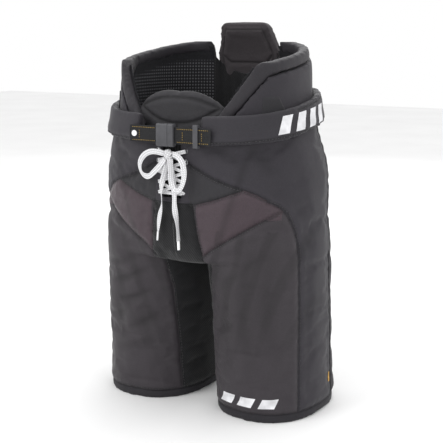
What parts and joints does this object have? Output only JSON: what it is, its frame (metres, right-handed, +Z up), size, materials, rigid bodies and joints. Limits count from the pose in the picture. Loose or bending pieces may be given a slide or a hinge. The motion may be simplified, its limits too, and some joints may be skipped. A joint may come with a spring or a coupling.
{
  "type": "ice hockey pants",
  "caption": "Padded ice hockey pants with swinging legs, spine and kidney guards, belly pad, belt buckle and laced fly.",
  "frame": {"origin": "middle of the footprint, on the plane of the two leg hems", "axes": "+Z up the body, the wearer faces -Y, +X to the wearer's left"},
  "size_m": [0.378, 0.2724, 0.604],
  "materials": {
    "hip_fabric": "woven nylon with a slight sheen",
    "side_fabric": "heavier woven nylon",
    "front_fabric": "coated woven nylon",
    "insert_fabric": "shiny tear-resistant weave",
    "stretch_fabric": "knitted stretch fabric",
    "cap_plastic": "moulded polyethylene",
    "foam": "closed-cell foam",
    "rim_fabric": "padded nylon binding",
    "lining_fabric": "knitted liner",
    "lace_cord": "flat woven lace",
    "lace_plastic": "shrunk plastic tip",
    "spine_fabric": "knitted cover",
    "belly_fabric": "padded nylon",
    "buckle_plastic": "moulded acetal",
    "webbing": "woven webbing with stitched edges",
    "rivet_metal": "painted cap rivet",
    "eyelet_metal": "dark pressed eyelet"
  },
  "bodies": {
    "root": {"belt_rivet": "rivet_metal", "buckle_socket": "buckle_plastic", "crotch_gusset": "stretch_fabric", "eyelets": "eyelet_metal", "fly_gusset": "stretch_fabric", "lace_knot": "lace_cord", "lacing": "lace_cord", "left_belt_wing": "hip_fabric", "left_front_insert": "insert_fabric", "left_hip_cap": "cap_plastic", "left_hip_pad": "foam", "left_hip_panel": "hip_fabric", "left_kidney_cover": "hip_fabric", "left_kidney_pad": "foam", "left_kidney_plate": "cap_plastic", "left_kidney_rim": "rim_fabric", "left_lace_loop": "lace_cord", "left_lace_tail": "lace_cord", "left_lace_tip": "lace_plastic", "right_belt_wing": "hip_fabric", "right_front_insert": "insert_fabric", "right_hip_cap": "cap_plastic", "right_hip_pad": "foam", "right_hip_panel": "hip_fabric", "right_kidney_cover": "hip_fabric", "right_kidney_pad": "foam", "right_kidney_plate": "cap_plastic", "right_kidney_rim": "rim_fabric", "right_lace_loop": "lace_cord", "right_lace_tail": "lace_cord", "right_lace_tip": "lace_plastic", "seat_pad": "foam", "seat_panel": "side_fabric", "socket_strap": "webbing", "strap_adjuster": "buckle_plastic", "tailbone_plate": "cap_plastic", "waist_lining": "lining_fabric"},
    "left_leg": {"left_leg_front_panel": "front_fabric", "left_leg_side_panel": "side_fabric", "left_leg_back_panel": "stretch_fabric", "left_thigh_cap": "cap_plastic", "left_thigh_pad": "foam", "left_leg_lining": "lining_fabric", "left_hem_band": "side_fabric"},
    "right_leg": {"right_leg_front_panel": "front_fabric", "right_leg_side_panel": "side_fabric", "right_leg_back_panel": "stretch_fabric", "right_thigh_cap": "cap_plastic", "right_thigh_pad": "foam", "right_leg_lining": "lining_fabric", "right_hem_band": "side_fabric"},
    "spine_guard": {"spine_cover": "spine_fabric", "spine_plate": "cap_plastic", "spine_pad": "foam"},
    "belly_flap": {"belly_pad": "belly_fabric"},
    "belt_clip": {"buckle_clip": "buckle_plastic", "clip_strap": "webbing"},
    "upper_prong": {"upper_prong": "buckle_plastic"},
    "lower_prong": {"lower_prong": "buckle_plastic"}
  },
  "joints": [
    {"name": "left_leg_swing", "type": "hinge", "parent": "root", "child": "left_leg", "pos_m": [0.095, 0.008, 0.33], "axis": [-1, 0, 0], "range_deg": [-10, 20]},
    {"name": "right_leg_swing", "type": "hinge", "parent": "root", "child": "right_leg", "pos_m": [-0.095, 0.008, 0.33], "axis": [-1, 0, 0], "range_deg": [-10, 20]},
    {"name": "spine_guard_tilt", "type": "hinge", "parent": "root", "child": "spine_guard", "pos_m": [0, 0.1365, 0.488], "axis": [-1, 0, 0], "range_deg": [0, 12]},
    {"name": "belly_pad_fold", "type": "hinge", "parent": "root", "child": "belly_flap", "pos_m": [0, -0.104, 0.42], "axis": [-1, 0, 0], "range_deg": [0, 20]},
    {"name": "buckle_release", "type": "slide", "parent": "root", "child": "belt_clip", "axis": [1, 0, 0], "range_m": [0, 0.02]},
    {"name": "upper_prong_flex", "type": "hinge", "parent": "belt_clip", "child": "upper_prong", "pos_m": [0.006, -0.1313, 0.4515], "axis": [0, -1, 0], "range_deg": [0, 5], "stiffness_Nm_per_rad": 0.02, "springref_deg": -11.46},
    {"name": "lower_prong_flex", "type": "hinge", "parent": "belt_clip", "child": "lower_prong", "pos_m": [0.006, -0.1313, 0.4285], "axis": [0, 1, 0], "range_deg": [0, 5], "stiffness_Nm_per_rad": 0.02, "springref_deg": -11.46}
  ],
  "couplings": [
    {"joint": "lower_prong_flex", "follows": "upper_prong_flex", "ratio": 1}
  ]
}
